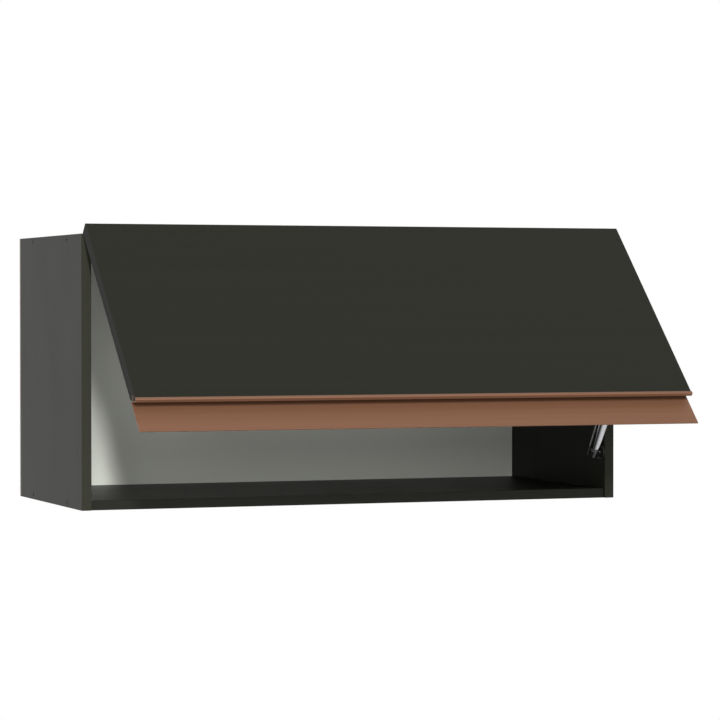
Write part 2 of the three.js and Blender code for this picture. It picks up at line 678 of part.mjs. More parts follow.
function flapBracket(screws) {
  const low = -FLAP_PIN_DOWN - BRACKET_HEIGHT / 2;
  const high = -FLAP_PIN_DOWN + BRACKET_HEIGHT / 2;
  const plate = box([EAR_FACE - BRACKET_WIDTH, BRACKET_BACK, low],
    [EAR_FACE, BRACKET_BACK + EAR_THICKNESS, high]);
  const root = BRACKET_BACK;
  const web = box([EAR_FACE - EAR_THICKNESS, root, -FLAP_PIN_DOWN - EAR_RADIUS],
    [EAR_FACE, PIN_Y, -FLAP_PIN_DOWN + EAR_RADIUS]);
  const round = alongX(rod(EAR_RADIUS, EAR_FACE - EAR_THICKNESS, EAR_FACE));
  round.translate(0, PIN_Y, -FLAP_PIN_DOWN);
  const hole = alongX(rod(STUD_TENON_RADIUS + SCREW_GAP, EAR_FACE - 2 * EAR_THICKNESS,
    EAR_FACE + EAR_THICKNESS)).translate(0, PIN_Y, -FLAP_PIN_DOWN);
  const bracket = cut(join([plate, web, round]), [hole, ...screws.map(screwHole)]);
  return mesh('flap_bracket', geometryOf(bracket), steel);
}

// A stud riveted in the ear. It stops a clear gap short of the rod's socket.
function flapStud() {
  const far = -EAR_THICKNESS - SCREW_GAP;
  const tip = EAR_TO_SOCKET - TURNED_GAP;
  const narrow = STUD_COLLAR_RADIUS * RIM_TAPER;
  const outline = [[0, far - STUD_HEAD], [narrow, far - STUD_HEAD], [STUD_COLLAR_RADIUS, far],
    [STUD_TENON_RADIUS, far], [STUD_TENON_RADIUS, SCREW_GAP], [STUD_COLLAR_RADIUS, SCREW_GAP],
    [STUD_COLLAR_RADIUS, tip - STUD_HEAD], [narrow, tip], [0, tip]];
  const stud = alongX(turned(outline, MEDIUM));
  return mesh('flap_stud', stud, steel, [EAR_FACE, PIN_Y, -FLAP_PIN_DOWN]);
}

// ------------------------------------------------------------------ assembly

function carcass() {
  const group = new THREE.Group();
  const nails = backNails();
  const baseScrews = basePlateScrews();
  const assembly = [];
  const hangers = [];
  const edgeScrews = [];
  for (const [side, sign] of SIDES) {
    const joints = assemblyScrews(side, sign);
    const own = hangerScrews(side, sign);
    const extra = sign > 0 ? baseScrews : [];
    group.add(sidePanel(side, sign, [...joints, ...own, ...extra, ...nails]));
    group.add(hanger(side, sign, own));
    assembly.push(...joints);
    hangers.push(...own);
    const x = sign * HINGE_X;
    edgeScrews.push(...shifted(frameLeafScrews(side), x, AXIS_Y, AXIS_Z));
    group.add(frameLeaf(side, x), hingePin(side, x));
  }
  for (const [level, up] of LEVELS) {
    group.add(levelPanel(level, up, [...assembly, ...nails, ...edgeScrews]));
  }
  group.add(backPanel(nails), basePlate(baseScrews), ballStud());
  const screws = [...assembly, ...nails, ...hangers, ...edgeScrews, ...baseScrews];
  group.add(...screws.map(screwMesh));
  return group;
}

function flap() {
  const group = new THREE.Group();
  group.position.set(0, AXIS_Y, AXIS_Z);
  group.rotation.x = -OPEN;
  const fixings = bracketScrews();
  const leafFixings = [];
  for (const [side, sign] of SIDES) {
    const x = sign * HINGE_X;
    group.add(flapLeaf(side, x), bumper(side, sign));
    leafFixings.push(...shifted(flapLeafScrews(side), x));
  }
  const screws = [...leafFixings, ...fixings];
  group.add(flapBoard(screws), handleProfile(), flapBracket(fixings), flapStud());
  group.add(...screws.map(screwMesh));
  return group;
}

function strut() {
  const group = new THREE.Group();
  group.position.set(STRUT_X, BASE_Y, BASE_Z);
  group.rotation.x = STRUT_LEAN;
  group.add(baseSocket(), tube(), rodGuide(), piston(), strutRod(), rodSocket());
  return group;
}

const cabinet = new THREE.Group();
cabinet.add(carcass(), flap(), strut());

export default cabinet;
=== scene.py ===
"""A lift-up wall cabinet in graphite board, with a copper-coloured handle profile
and a gas strut, dressed for a studio picture.

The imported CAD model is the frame. The boards, the handle profile, the hinge leaves,
the hangers and the flap's bracket keep their CAD meshes and get softened edges and
procedural finishes. The turned and moulded pieces (strut, studs, pins, screws, nails
and bumpers) are built here as finer meshes that stand for their CAD nodes. Named
lengths are in millimetres unless a note says metres, and Blender works in metres.
"""

import json
import math

import bmesh
import bpy
from mathutils import Matrix, Vector

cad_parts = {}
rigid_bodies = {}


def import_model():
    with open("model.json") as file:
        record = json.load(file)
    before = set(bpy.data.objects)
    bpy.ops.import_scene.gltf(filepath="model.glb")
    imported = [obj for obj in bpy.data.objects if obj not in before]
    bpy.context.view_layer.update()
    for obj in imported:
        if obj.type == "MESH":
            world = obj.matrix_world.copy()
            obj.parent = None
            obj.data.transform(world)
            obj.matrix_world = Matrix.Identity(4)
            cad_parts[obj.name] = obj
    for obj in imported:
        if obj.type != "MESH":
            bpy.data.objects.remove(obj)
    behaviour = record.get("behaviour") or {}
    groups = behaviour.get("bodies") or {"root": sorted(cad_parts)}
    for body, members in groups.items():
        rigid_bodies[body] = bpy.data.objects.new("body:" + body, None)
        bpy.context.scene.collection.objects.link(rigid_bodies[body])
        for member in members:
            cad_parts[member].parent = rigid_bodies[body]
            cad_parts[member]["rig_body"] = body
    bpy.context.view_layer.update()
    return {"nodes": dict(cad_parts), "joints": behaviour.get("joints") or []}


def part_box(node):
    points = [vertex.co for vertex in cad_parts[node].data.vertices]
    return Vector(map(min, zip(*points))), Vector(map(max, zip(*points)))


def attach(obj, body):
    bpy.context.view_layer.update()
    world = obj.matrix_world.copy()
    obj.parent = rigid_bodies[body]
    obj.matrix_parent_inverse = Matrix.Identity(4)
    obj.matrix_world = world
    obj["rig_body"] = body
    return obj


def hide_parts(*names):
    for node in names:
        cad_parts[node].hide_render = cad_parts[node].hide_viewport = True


MM = 0.001

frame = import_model()
nodes = frame["nodes"]
joints = {joint["name"]: joint for joint in frame["joints"]}

# ------------------------------------------------------------------ real sizes

# Radii of softened edges and corners
BOARD_SOFT = 0.35
BACK_SOFT = 0.15
PROFILE_SOFT = 0.3
LEAF_SOFT = 0.2             # pressed hinge leaves
PLATE_SOFT = 0.4            # thicker plate of the hangers and the bracket
TURNED_SOFT = 0.3

# Clearances, as in the CAD model
SLIDE_GAP = 0.1             # round a screw, pin, rod or stud in its hole
SOCKET_GAP = 0.3            # round the ball and the tube's stub in their socket
ROD_END_GAP = 0.3
CUT_PAST = 1                # how far a cutter reaches past the surface it cuts

# Strut, measured along its own axis from the base ball
BALL_RADIUS = 4
BALL_NECK = 2.4
NECK_REACH = 9.9
SOCKET_RADIUS = 7.2
SOCKET_END = 7
SOCKET_CHAMFER = 1.6
SOCKET_SHOULDER = 4.6       # from here the socket narrows to its waist
SOCKET_WAIST_START = 5
SOCKET_WAIST = 7
SOCKET_MOUTH = 7.5
SOCKET_SOFT = 0.9
CLIP_SLOT_LOW = 1.5
CLIP_SLOT_HIGH = 3.4
CLIP_SLOT_HALF = 0.5
CLIP_SLOT_DEPTH = 0.8
TUBE_RADIUS = 7.5
TUBE_BORE = 6.5
TUBE_START = 7.8
TUBE_FLOOR = 9.8
TUBE_END = 99.8
TUBE_STUB = 3
TUBE_STUB_START = 5.4
TUBE_ROLL = 0.9             # radius of the rolled-in mouth
TUBE_LIP = 0.5              # thickness of the mouth at its rim and at its root
TUBE_LIP_ROOT = 0.6
TUBE_GROOVE_FROM_END = 9
TUBE_GROOVE_DEPTH = 0.35
TUBE_GROOVE_HALF = 1.1
GUIDE_END = 98.9
GUIDE_LENGTH = 8
GUIDE_RADIUS = 6.4
GUIDE_FUNNEL = 0.8          # how far the guide's mouth stands off the rod
GUIDE_FUNNEL_DEPTH = 0.7
ROD_RADIUS = 3
PISTON_END = 88.9
PISTON_LENGTH = 6
PISTON_GROOVE = 2           # from the piston's start, and its length
PISTON_GROOVE_SLOPE = 0.4
PISTON_GROOVE_DEPTH = 0.8
ROD_SEAT = 8
ROD_SOCKET_RADIUS = 6.5
ROD_SOCKET_HALF = 5
ROD_SOCKET_SOFT = 1.4
ROD_NECK_RADIUS = 4.6
ROD_NECK_LENGTH = 14
ROD_NECK_SOFT = 0.5
NECK_GROOVE = 9             # its middle, from the rod socket's stud
NECK_GROOVE_HALF = 0.5      # also its depth

# Base plate, measured from its face towards the side panel
BASE_PLATE_RADIUS = 12
BASE_PLATE_THICKNESS = 2
BASE_PLATE_SOFT = 0.4
BASE_BOSS_RADIUS = 5.2
BASE_BOSS_FOOT = 5.6
BASE_STEP = 0.35            # from the boss down to the plate's face
BASE_RIM = 1.0              # where the rim's slope ends
BASE_RIM_SLOPE = 1.6
BASE_SCREW_SPREAD = 8
BASE_SCREW_HEAD = 2.8
BASE_SCREW_SHANK = 1.6
BASE_SCREW_SINK = 1.2

# Screws and nails: shank and head radius, length, thread pitch, recess across
SCREW_SIZES = {
    "assembly": {"shank": 2.25, "head": 3.45, "length": 45, "pitch": 2.2, "recess": 3},
    "hinge": {"shank": 1.5, "head": 2.45, "length": 13, "pitch": 1.35, "recess": 2.6},
    "plate": {"shank": 1.5, "head": 2.7, "length": 11, "pitch": 1.35, "recess": 2.8},
}
SCREW_HEAD_CHAMFER = 0.15
SCREW_TIP = 3
SCREW_POINT = (0.6, 0.3)    # radius, and distance from the very end
THREAD_DEPTH = 0.35
THREAD_RINGS = 6            # mesh rings to one turn of the thread
THREAD_STEEPNESS = 4
HEXAGON_DEPTH = 0.7         # share of the recess's width
CROSS_DEPTH = (0.75, 0.4)   # share of the recess's half width, and what is added
CROSS_ARM = (0.18, 0.16)    # the same, for half an arm's width
CROSS_TAPER = 0.45          # width at the recess's bottom, as a share
STAR_WIDTH = 1.8            # half width, in half arms
STAR_DEPTH = 0.6            # share of the cross's depth
SCREW_END_BAND = 0.05       # how near its ends a screw's width is measured
NAIL_SHANK = 0.8
NAIL_HEAD = 1.6
NAIL_HEAD_DEPTH = 0.8
NAIL_HEAD_CHAMFER = 0.2
NAIL_LENGTH = 16
NAIL_TIP = 2

# Hinge pins, the flap's stud and bumpers
PIN_RADIUS = 1
PIN_HEAD_RADIUS = 1.9
PIN_HALF = 30
PIN_HEAD_THICKNESS = 0.8
PIN_HEAD_RIM = 0.5
PIN_SOFT = 0.2
STUD_COLLAR = 4
STUD_END = 3.2
STUD_CHAMFER = 1
STUD_TENON = 2.4
STUD_TENON_END = 3.2
STUD_SOFT = 0.25
BUMPER_RADIUS = 4
BUMPER_WALL = 0.4
BUMPER_SHOULDER = (3.1, 0.8)
BUMPER_TOP = 1.5
BUMPER_THICKNESS = 0.9

# How fine the meshes are
ROUND = 64                  # facets round a strut piece
SMALL_ROUND = 40            # facets round a screw head or pin
HEXAGON = 6
BALL_RINGS = 24
ARC_STEPS = 5               # segments of a rounded corner
ARC_SHARE = 0.45            # the most of a side that one rounded corner takes
ON_AXIS = 1e-6              # a smaller radius is a point on the axis
BEVEL_SEGMENTS = 3
BEVEL_FROM = 30             # degrees between two faces
SHARP_FROM = 35             # degrees between two faces
WELD_WITHIN = 0.002

# ---------------------------------------------------------------------- camera

CAMERA_PLACE = Vector((-1290.79, -3750.92, 78.41)) * MM
CAMERA_YAW = 20.576         # degrees to the right of straight on
CAMERA_PITCH = -1.027
CAMERA_ROLL = 0.023
FOCAL_LENGTH = 149.35
SENSOR_WIDTH = 36
CLIP_START = 0.05           # metres
CLIP_END = 50


def degrees(*angles):
    return tuple(math.radians(angle) for angle in angles)


def make_camera():
    data = bpy.data.cameras.new("camera")
    data.lens = FOCAL_LENGTH
    data.sensor_width = SENSOR_WIDTH
    data.clip_start = CLIP_START
    data.clip_end = CLIP_END
    camera = bpy.data.objects.new("camera", data)
    camera.location = CAMERA_PLACE
    camera.rotation_euler = degrees(90 + CAMERA_PITCH, CAMERA_ROLL, -CAMERA_YAW)
    bpy.context.scene.collection.objects.link(camera)
    bpy.context.scene.camera = camera


make_camera()

# ---------------------------------------------------------------------- frames

HINGE = Vector(joints["flap_hinge"]["pos_m"])
OPEN_ANGLE = -joints["flap_hinge"]["range_deg"][0]
STRUT_BASE = Vector(joints["strut_swing"]["pos_m"])
STRUT_AXIS = Vector(joints["strut_stroke"]["axis"])
STRUT_LEAN = math.atan2(-STRUT_AXIS.y, STRUT_AXIS.z)

WORLD = Matrix.Identity(4)
FLAP = Matrix.Translation(HINGE) @ Matrix.Rotation(-math.radians(OPEN_ANGLE), 4, "X")
STRUT = Matrix.Translation(STRUT_BASE) @ Matrix.Rotation(STRUT_LEAN, 4, "X")
Z_TO_X = Matrix.Rotation(math.pi / 2, 4, "Y")
Z_TO_Y = Matrix.Rotation(-math.pi / 2, 4, "X")


def box_in(node, matrix):
    """Lowest and highest corner of a CAD node, measured in another frame."""
    turned_back = matrix.inverted()
    points = [turned_back @ vertex.co for vertex in nodes[node].data.vertices]
    low = Vector([min(point[i] for point in points) for i in range(3)])
    high = Vector([max(point[i] for point in points) for i in range(3)])
    return low, high


# ------------------------------------------------------------ material helpers


def new_material(name, color, roughness, metallic=0.0, **sockets):
    material = bpy.data.materials.new(name)
    material.use_nodes = True
    principled = material.node_tree.nodes["Principled BSDF"]
    principled.inputs["Base Color"].default_value = (*color, 1)
    principled.inputs["Roughness"].default_value = roughness
    principled.inputs["Metallic"].default_value = metallic
    for socket, value in sockets.items():
        principled.inputs[socket.replace("_", " ")].default_value = value
    return material


def add(material, kind, inputs=(), **settings):
    """A node with its settings, and inputs given as {socket: value or other output}."""
    tree = material.node_tree
    node = tree.nodes.new(kind)
    for name, value in settings.items():
        setattr(node, name, value)
    for socket, value in dict(inputs).items():
        if isinstance(value, bpy.types.NodeSocket):
            tree.links.new(value, node.inputs[socket])
        else:
            node.inputs[socket].default_value = value
    return node


def connect(material, socket, output):
    principled = material.node_tree.nodes["Principled BSDF"]
    material.node_tree.links.new(output, principled.inputs[socket])


def local_coordinates(material, matrix=WORLD):
    """Coordinates in metres in the frame that matrix gives."""
    inverse = matrix.inverted()
    source = add(material, "ShaderNodeTexCoord")
    inputs = {"Vector": source.outputs["Object"], "Location": inverse.to_translation(),
              "Rotation": inverse.to_euler()}
    return add(material, "ShaderNodeMapping", inputs).outputs["Vector"]


def noise(material, vector, scale, detail=2.0, roughness=0.5):
    inputs = {"Vector": vector, "Scale": scale, "Detail": detail, "Roughness": roughness}
    return add(material, "ShaderNodeTexNoise", inputs).outputs["Fac"]


def grain(material, place, layer):
    """Noise with its own fineness along each axis, detail and roughness."""
    fineness, detail, roughness = layer
    inputs = {"Vector": place, "Scale": fineness}
    vector = add(material, "ShaderNodeMapping", inputs).outputs["Vector"]
    return noise(material, vector, 1.0, detail, roughness)


def math_node(material, operation, a, b=0.0):
    return add(material, "ShaderNodeMath", {0: a, 1: b}, operation=operation).outputs[0]


def scaled(material, value, factor):
    return math_node(material, "MULTIPLY", value, factor)


def spread(material, value, limits, new_limits=(0.0, 1.0)):
    """Maps what lies between the limits to between the new limits."""
    inputs = {"Value": value, "From Min": limits[0], "From Max": limits[1],
              "To Min": new_limits[0], "To Max": new_limits[1]}
    return add(material, "ShaderNodeMapRange", inputs).outputs["Result"]


def mix_colors(material, factor, first, second):
    node = add(material, "ShaderNodeMix", data_type="RGBA")
    for index, value in ((0, factor), (6, first), (7, second)):
        if isinstance(value, bpy.types.NodeSocket):
            material.node_tree.links.new(value, node.inputs[index])
        else:
            node.inputs[index].default_value = value if index == 0 else (*value, 1)
    return node.outputs[2]


def mix_values(material, factor, first, second):
    inputs = {"Factor": factor, "A": first, "B": second}
    return add(material, "ShaderNodeMix", inputs).outputs["Result"]


def bump(material, height, strength, distance):
    inputs = {"Height": height, "Strength": strength, "Distance": distance}
    connect(material, "Normal", add(material, "ShaderNodeBump", inputs).outputs["Normal"])


NOISE_RANGE = (0.3, 0.7)    # between these lies nearly all of a noise
NOISE_CORE = (0.35, 0.65)

# -------------------------------------------------------------- graphite board

GRAPHITE_DARK = (0.0127, 0.0134, 0.0095)
GRAPHITE_LIGHT = (0.0135, 0.0143, 0.0102)
SIDE_BAND = (0.026, 0.0263, 0.0195)
# Edge band of the top and bottom boards, darker than the other bands: painted shade for the
# shaded bottom front edge
SHADED_LEVEL_BAND = (0.016, 0.0163, 0.0133)
FLAP_BAND = (0.033, 0.0343, 0.0322)
BAND_DEPTH = 0.25           # how far the edge band shows from a board's end
BAND_ROUGHNESS = 0.85
BOARD_ROUGHNESS = 0.42
BOARD_SPECULAR = 0.07

# Layers of noise: fineness per metre along X, Y and Z, then detail and roughness
FLAMES = ((5, 45, 45), 1.5, 0.5)
PATCHES = ((7, 30, 30), 1.0, 0.5)
PORES = ((28, 950, 950), 2.0, 0.6)
STREAKS = ((2.5, 160, 160), 4.0, 0.6)
CLOUDS = ((6, 14, 14), 2.0, 0.5)

# How the layers become grain
FLAME_RINGS = 12
FLAME_LINE = (0.0, 0.2)     # part of a ring that is a line, full to none
PATCH_LIMITS = (0.56, 0.64)
PORE_LIMITS = (0.56, 0.7)
PORE_DEPTH = 0.25           # share of a line's depth
CLOUD_ROUGHNESS = (-0.01, 0.01)
GROOVE_ROUGHNESS = 0.02
GROOVE_BUMP = (0.3, 0.00016)


def edge_mask(material, place, half_sizes):
    """1 on a board's narrow faces, 0 on its two broad ones."""
    split = add(material, "ShaderNodeSeparateXYZ", {"Vector": place})
    thickness = min(range(3), key=lambda i: half_sizes[i])
    masks = []
    for axis in range(3):
        if axis != thickness:
            reach = math_node(material, "ABSOLUTE", split.outputs[axis])
            limit = half_sizes[axis] - BAND_DEPTH * MM
            masks.append(math_node(material, "GREATER_THAN", reach, limit))
    return math_node(material, "MAXIMUM", *masks)


def grain_grooves(material, place):
    """1 in the embossed lines of the grain, and less in its fine pores."""
    flames = grain(material, place, FLAMES)
    rings = math_node(material, "PINGPONG", scaled(material, flames, FLAME_RINGS), 0.5)
    patches = grain(material, place, PATCHES)
    lines = scaled(material, spread(material, rings, FLAME_LINE, (1.0, 0.0)),
                   spread(material, patches, PATCH_LIMITS))
    pores = spread(material, grain(material, place, PORES), PORE_LIMITS)
    return math_node(material, "MAXIMUM", lines, scaled(material, pores, PORE_DEPTH))


def graphite_board(name, matrix, half_sizes, band):
    """Matt laminate with an embossed grain that runs along the frame's X."""
    material = new_material(name, GRAPHITE_DARK, BOARD_ROUGHNESS,
                            Specular_IOR_Level=BOARD_SPECULAR)
    place = local_coordinates(material, matrix)
    edge = edge_mask(material, place, half_sizes)
    tone = spread(material, grain(material, place, STREAKS), NOISE_CORE)
    face = mix_colors(material, tone, GRAPHITE_DARK, GRAPHITE_LIGHT)
    connect(material, "Base Color", mix_colors(material, edge, face, band))
    grooves = grain_grooves(material, place)
    clouds = spread(material, grain(material, place, CLOUDS), NOISE_RANGE, CLOUD_ROUGHNESS)
    gloss = math_node(material, "ADD", clouds, scaled(material, grooves, GROOVE_ROUGHNESS))
    face_gloss = math_node(material, "ADD", gloss, BOARD_ROUGHNESS)
    connect(material, "Roughness", mix_values(material, edge, face_gloss, BAND_ROUGHNESS))
    bump(material, scaled(material, grooves, -1), *GROOVE_BUMP)
    return material


# -------------------------------------------------------------- other finishes

WHITE_LACQUER = (0.84, 0.865, 0.775)
LACQUER_DEPTH = 0.1
LACQUER_ROUGHNESS = 0.38
LACQUER_SPECULAR = 0.4
ORANGE_PEEL = 260           # fineness per metre
ORANGE_PEEL_HEIGHT = 0.15   # share of the raw fibres' height
RAW_FIBRE_DARK = (0.13, 0.075, 0.038)
RAW_FIBRE_LIGHT = (0.24, 0.15, 0.085)
RAW_ROUGHNESS = 0.85
FIBRES = ((420, 900, 420), 5.0, 0.7)
BACK_BUMP = (0.25, 0.0002)

COPPER_DARK = (0.144, 0.067, 0.036)
COPPER_LIGHT = (0.162, 0.077, 0.043)
COPPER_ROUGHNESS = (0.41, 0.51)
COPPER_METALLIC = 0.2
COPPER_SPECULAR = 0.3
DRAWING_LINES = ((4, 2600, 2600), 3.0, 0.6)
DRAWING_BANDS = ((1.2, 220, 220), 2.0, 0.5)
DRAWING_TONES = (0.75, 1.25)
DRAWING_BUMP = (0.2, 0.00003)

METAL_MARKS = (4.0, 0.6)    # detail and roughness of the working marks' noise
METAL_DARKER = 0.8          # tone in the working marks
METAL_ROUGHNESS = (0.75, 1.25)   # shares of the metal's own
METAL_BUMP = (0.15, 0.00004)
PLASTIC_SKIN = 2600         # fineness per metre
PLASTIC_CLOUD = 90
PLASTIC_ROUGHNESS = (0.85, 1.15) # shares of the plastic's own
PLASTIC_BUMP = (0.12, 0.00005)


def white_back():
    """Hardboard: satin white in front, raw brown fibre on the edges and behind."""
    material = new_material("white_back", WHITE_LACQUER, LACQUER_ROUGHNESS,
                            Specular_IOR_Level=LACQUER_SPECULAR)
    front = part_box("back_panel")[0].y
    place = local_coordinates(material)
    depth = add(material, "ShaderNodeSeparateXYZ", {"Vector": place}).outputs["Y"]
    raw = math_node(material, "GREATER_THAN", depth, front + LACQUER_DEPTH * MM)
    fibres = grain(material, place, FIBRES)
    fibre = mix_colors(material, spread(material, fibres, NOISE_CORE), RAW_FIBRE_DARK,
                       RAW_FIBRE_LIGHT)
    connect(material, "Base Color", mix_colors(material, raw, WHITE_LACQUER, fibre))
    connect(material, "Roughness", spread(material, raw, (0.0, 1.0),
                                          (LACQUER_ROUGHNESS, RAW_ROUGHNESS)))
    peel = scaled(material, noise(material, place, ORANGE_PEEL), ORANGE_PEEL_HEIGHT)
    height = math_node(material, "ADD", peel, scaled(material, fibres, raw))
    bump(material, height, *BACK_BUMP)
    return material


def copper_profile():
    """Copper-coloured anodised aluminium, with drawing lines along its length."""
    material = new_material("copper_profile", COPPER_LIGHT, sum(COPPER_ROUGHNESS) / 2,
                            COPPER_METALLIC, Specular_IOR_Level=COPPER_SPECULAR)
    place = local_coordinates(material, FLAP)
    fine = grain(material, place, DRAWING_LINES)
    broad = grain(material, place, DRAWING_BANDS)
    tone = spread(material, math_node(material, "ADD", fine, broad), DRAWING_TONES)
    connect(material, "Base Color", mix_colors(material, tone, COPPER_DARK, COPPER_LIGHT))
    connect(material, "Roughness", spread(material, fine, NOISE_RANGE, COPPER_ROUGHNESS))
    bump(material, fine, *DRAWING_BUMP)
    return material


def brushed_metal(name, color, roughness, marks, metallic=1.0, **sockets):
    """Metal with fine working marks; marks gives their fineness along X, Y and Z."""
    material = new_material(name, color, roughness, metallic, **sockets)
    place = local_coordinates(material)
    level = grain(material, place, (marks, *METAL_MARKS))
    darker = tuple(METAL_DARKER * channel for channel in color)
    tone = spread(material, level, NOISE_RANGE)
    connect(material, "Base Color", mix_colors(material, tone, darker, color))
    limits = tuple(share * roughness for share in METAL_ROUGHNESS)
    connect(material, "Roughness", spread(material, level, NOISE_RANGE, limits))
    bump(material, level, *METAL_BUMP)
    return material


def moulded_plastic(name, color, roughness, **sockets):
    """Moulded plastic with a fine spark-eroded skin."""
    material = new_material(name, color, roughness, **sockets)
    place = local_coordinates(material)
    skin = noise(material, place, PLASTIC_SKIN)
    cloud = noise(material, place, PLASTIC_CLOUD)
    limits = tuple(share * roughness for share in PLASTIC_ROUGHNESS)
    connect(material, "Roughness", spread(material, cloud, NOISE_RANGE, limits))
    bump(material, skin, *PLASTIC_BUMP)
    return material


ZINC = brushed_metal("zinc_steel", color=(0.52, 0.53, 0.55), roughness=0.3,
                     marks=(500, 900, 900))
POLISHED = brushed_metal("polished_steel", color=(0.78, 0.79, 0.8), roughness=0.07,
                         marks=(160, 160, 1400))
DARK_SCREW = brushed_metal("screw_steel", color=(0.035, 0.035, 0.034), roughness=0.42,
                           marks=(900, 900, 900), metallic=0.6)
PAINTED_SCREW = brushed_metal("painted_screw", GRAPHITE_DARK, BOARD_ROUGHNESS,
                              marks=(900, 900, 900), metallic=0.0,
                              Specular_IOR_Level=BOARD_SPECULAR)
PLATED_SCREW = brushed_metal("plated_screw", color=(0.42, 0.43, 0.44), roughness=0.32,
                             marks=(900, 900, 900))
BLACK = moulded_plastic("black_plastic", color=(0.012, 0.012, 0.012), roughness=0.3)
GLOSS_BLACK = moulded_plastic("gloss_black", color=(0.01, 0.01, 0.01), roughness=0.13,
                              IOR=1.7, Specular_IOR_Level=0.7)
CLEAR = moulded_plastic("clear_bumper", color=(0.55, 0.57, 0.56), roughness=0.25,
                        Transmission_Weight=0.7)
COPPER = copper_profile()
WHITE = white_back()

# --------------------------------------------------------------- mesh building


def rounded(outline, radius):
    """The outline with each inner corner replaced by an arc of at most that radius."""
    points = [Vector(point) for point in outline]
    result = [points[0]]
    for before, corner, after in zip(points, points[1:], points[2:]):
        arms = (before - corner, after - corner)
        reach = min(radius, ARC_SHARE * arms[0].length, ARC_SHARE * arms[1].length)
        start = corner + arms[0].normalized() * reach
        end = corner + arms[1].normalized() * reach
        for step in range(ARC_STEPS + 1):
            t = step / ARC_STEPS
            result.append(start.lerp(corner, t).lerp(corner.lerp(end, t), t))
    result.append(points[-1])
    return [tuple(point) for point in result]


def lathe(outline, facets, radius_at=None):
    """A closed bmesh turned about Z. The outline is (radius, height) from axis to axis."""
    mesh = bmesh.new()
    rings = []
    for radius, height in outline:
        if radius < ON_AXIS:
            rings.append([mesh.verts.new((0, 0, height * MM))])
            continue
        ring = []
        for step in range(facets):
            turn = math.tau * step / facets
            reach = radius if radius_at is None else radius_at(radius, height, turn)
            ring.append(mesh.verts.new((reach * math.cos(turn) * MM,
                                        reach * math.sin(turn) * MM, height * MM)))
        rings.append(ring)
    closed = len(rings[0]) > 1
    pairs = list(zip(rings, rings[1:])) + ([(rings[-1], rings[0])] if closed else [])
    for lower, upper in pairs:
        bridge(mesh, lower, upper, facets)
    bmesh.ops.recalc_face_normals(mesh, faces=mesh.faces)
    return mesh


def bridge(mesh, lower, upper, facets):
    for step in range(facets):
        after = (step + 1) % facets
        if len(lower) == 1:
            mesh.faces.new((lower[0], upper[step], upper[after]))
        elif len(upper) == 1:
            mesh.faces.new((lower[step], lower[after], upper[0]))
        else:
            mesh.faces.new((lower[step], lower[after], upper[after], upper[step]))


def cylinder(radius, low, high, facets=SMALL_ROUND):
    return lathe([(0, low), (radius, low), (radius, high), (0, high)], facets)


def block(low, high):
    mesh = bmesh.new()
    bmesh.ops.create_cube(mesh, size=1)
    size = Vector(high) - Vector(low)
    centre = (Vector(high) + Vector(low)) / 2
    mesh.transform(Matrix.Translation(centre * MM) @ Matrix.Diagonal((*(size * MM), 1)))
    return mesh


def data_of(mesh, name):
    data = bpy.data.meshes.new(name)
    mesh.to_mesh(data)
    mesh.free()
    return data


def bmesh_of(data):
    mesh = bmesh.new()
    mesh.from_mesh(data)
    bpy.data.meshes.remove(data)
    return mesh


def linked(data, name):
    thing = bpy.data.objects.new(name, data)
    bpy.context.scene.collection.objects.link(thing)
    return thing


def combined(solid, tools, operation, name):
    """The mesh data of a solid after a boolean operation with each of the tools."""
    body = linked(data_of(solid, name), name)
    others = [linked(data_of(tool, "tool"), "tool") for tool in tools]
    for other in others:
        boolean = body.modifiers.new("boolean", "BOOLEAN")
        boolean.operation = operation
        boolean.solver = "EXACT"
        boolean.object = other
    bpy.context.view_layer.update()
    evaluated = body.evaluated_get(bpy.context.evaluated_depsgraph_get())
    result = bpy.data.meshes.new_from_object(evaluated)
    for thing in (body, *others):
        old = thing.data
        bpy.data.objects.remove(thing)
        bpy.data.meshes.remove(old)
    return result


def carved(solid, cutters, name):
    return combined(solid, cutters, "DIFFERENCE", name)


def shade(thing, material):
    """Smooth shading that keeps the sharp edges."""
    data = thing.data
    data.materials.clear()
    data.materials.append(material)
    data.shade_smooth()
    limit = math.radians(SHARP_FROM)
    mesh = bmesh.new()
    mesh.from_mesh(data)
    for edge in mesh.edges:
        edge.smooth = len(edge.link_faces) == 2 and edge.calc_face_angle() < limit
    mesh.to_mesh(data)
    mesh.free()


def piece(name, data, matrix, node, material):
    """Places mesh data as a piece that stands for a CAD node and rides on its body."""
    thing = linked(data, name)
    thing.matrix_world = matrix
    shade(thing, material)
    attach(thing, nodes[node]["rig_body"])
    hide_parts(node)
    return thing


def turned_piece(name, outline, matrix, node, material, soft=TURNED_SOFT, facets=ROUND):
    data = data_of(lathe(rounded(outline, soft), facets), name)
    return piece(name, data, matrix, node, material)


# -------------------------------------------------------------- kept CAD nodes

BOARDS = {                  # direction of the grain, frame, and colour of the edge band
    "left_side_panel": ("Z", WORLD, SIDE_BAND),
    "right_side_panel": ("Z", WORLD, SIDE_BAND),
    # The top and bottom boards' band colour is darkened: painted shade
    "top_panel": ("X", WORLD, SHADED_LEVEL_BAND),
    "bottom_panel": ("X", WORLD, SHADED_LEVEL_BAND),
    "flap_board": ("X", FLAP, FLAP_BAND),
}


def dress(node, material, soft):
    """Gives a CAD node its finish, and rounds its corners without touching its mesh."""
    thing = nodes[node]
    thing.data.materials.clear()
    thing.data.materials.append(material)
    weld = thing.modifiers.new("weld", "WELD")
    weld.merge_threshold = WELD_WITHIN * MM
    edges = thing.modifiers.new("edges", "BEVEL")
    edges.width = soft * MM
    edges.segments = BEVEL_SEGMENTS
    edges.limit_method = "ANGLE"
    edges.angle_limit = math.radians(BEVEL_FROM)
    edges.miter_outer = "MITER_ARC"
    edges.harden_normals = True


def board_frame(node, direction, base):
    """A frame at a board's middle whose X runs along the grain."""
    low, high = box_in(node, base)
    turn = WORLD if direction == "X" else Z_TO_X
    return base @ Matrix.Translation((low + high) / 2) @ turn


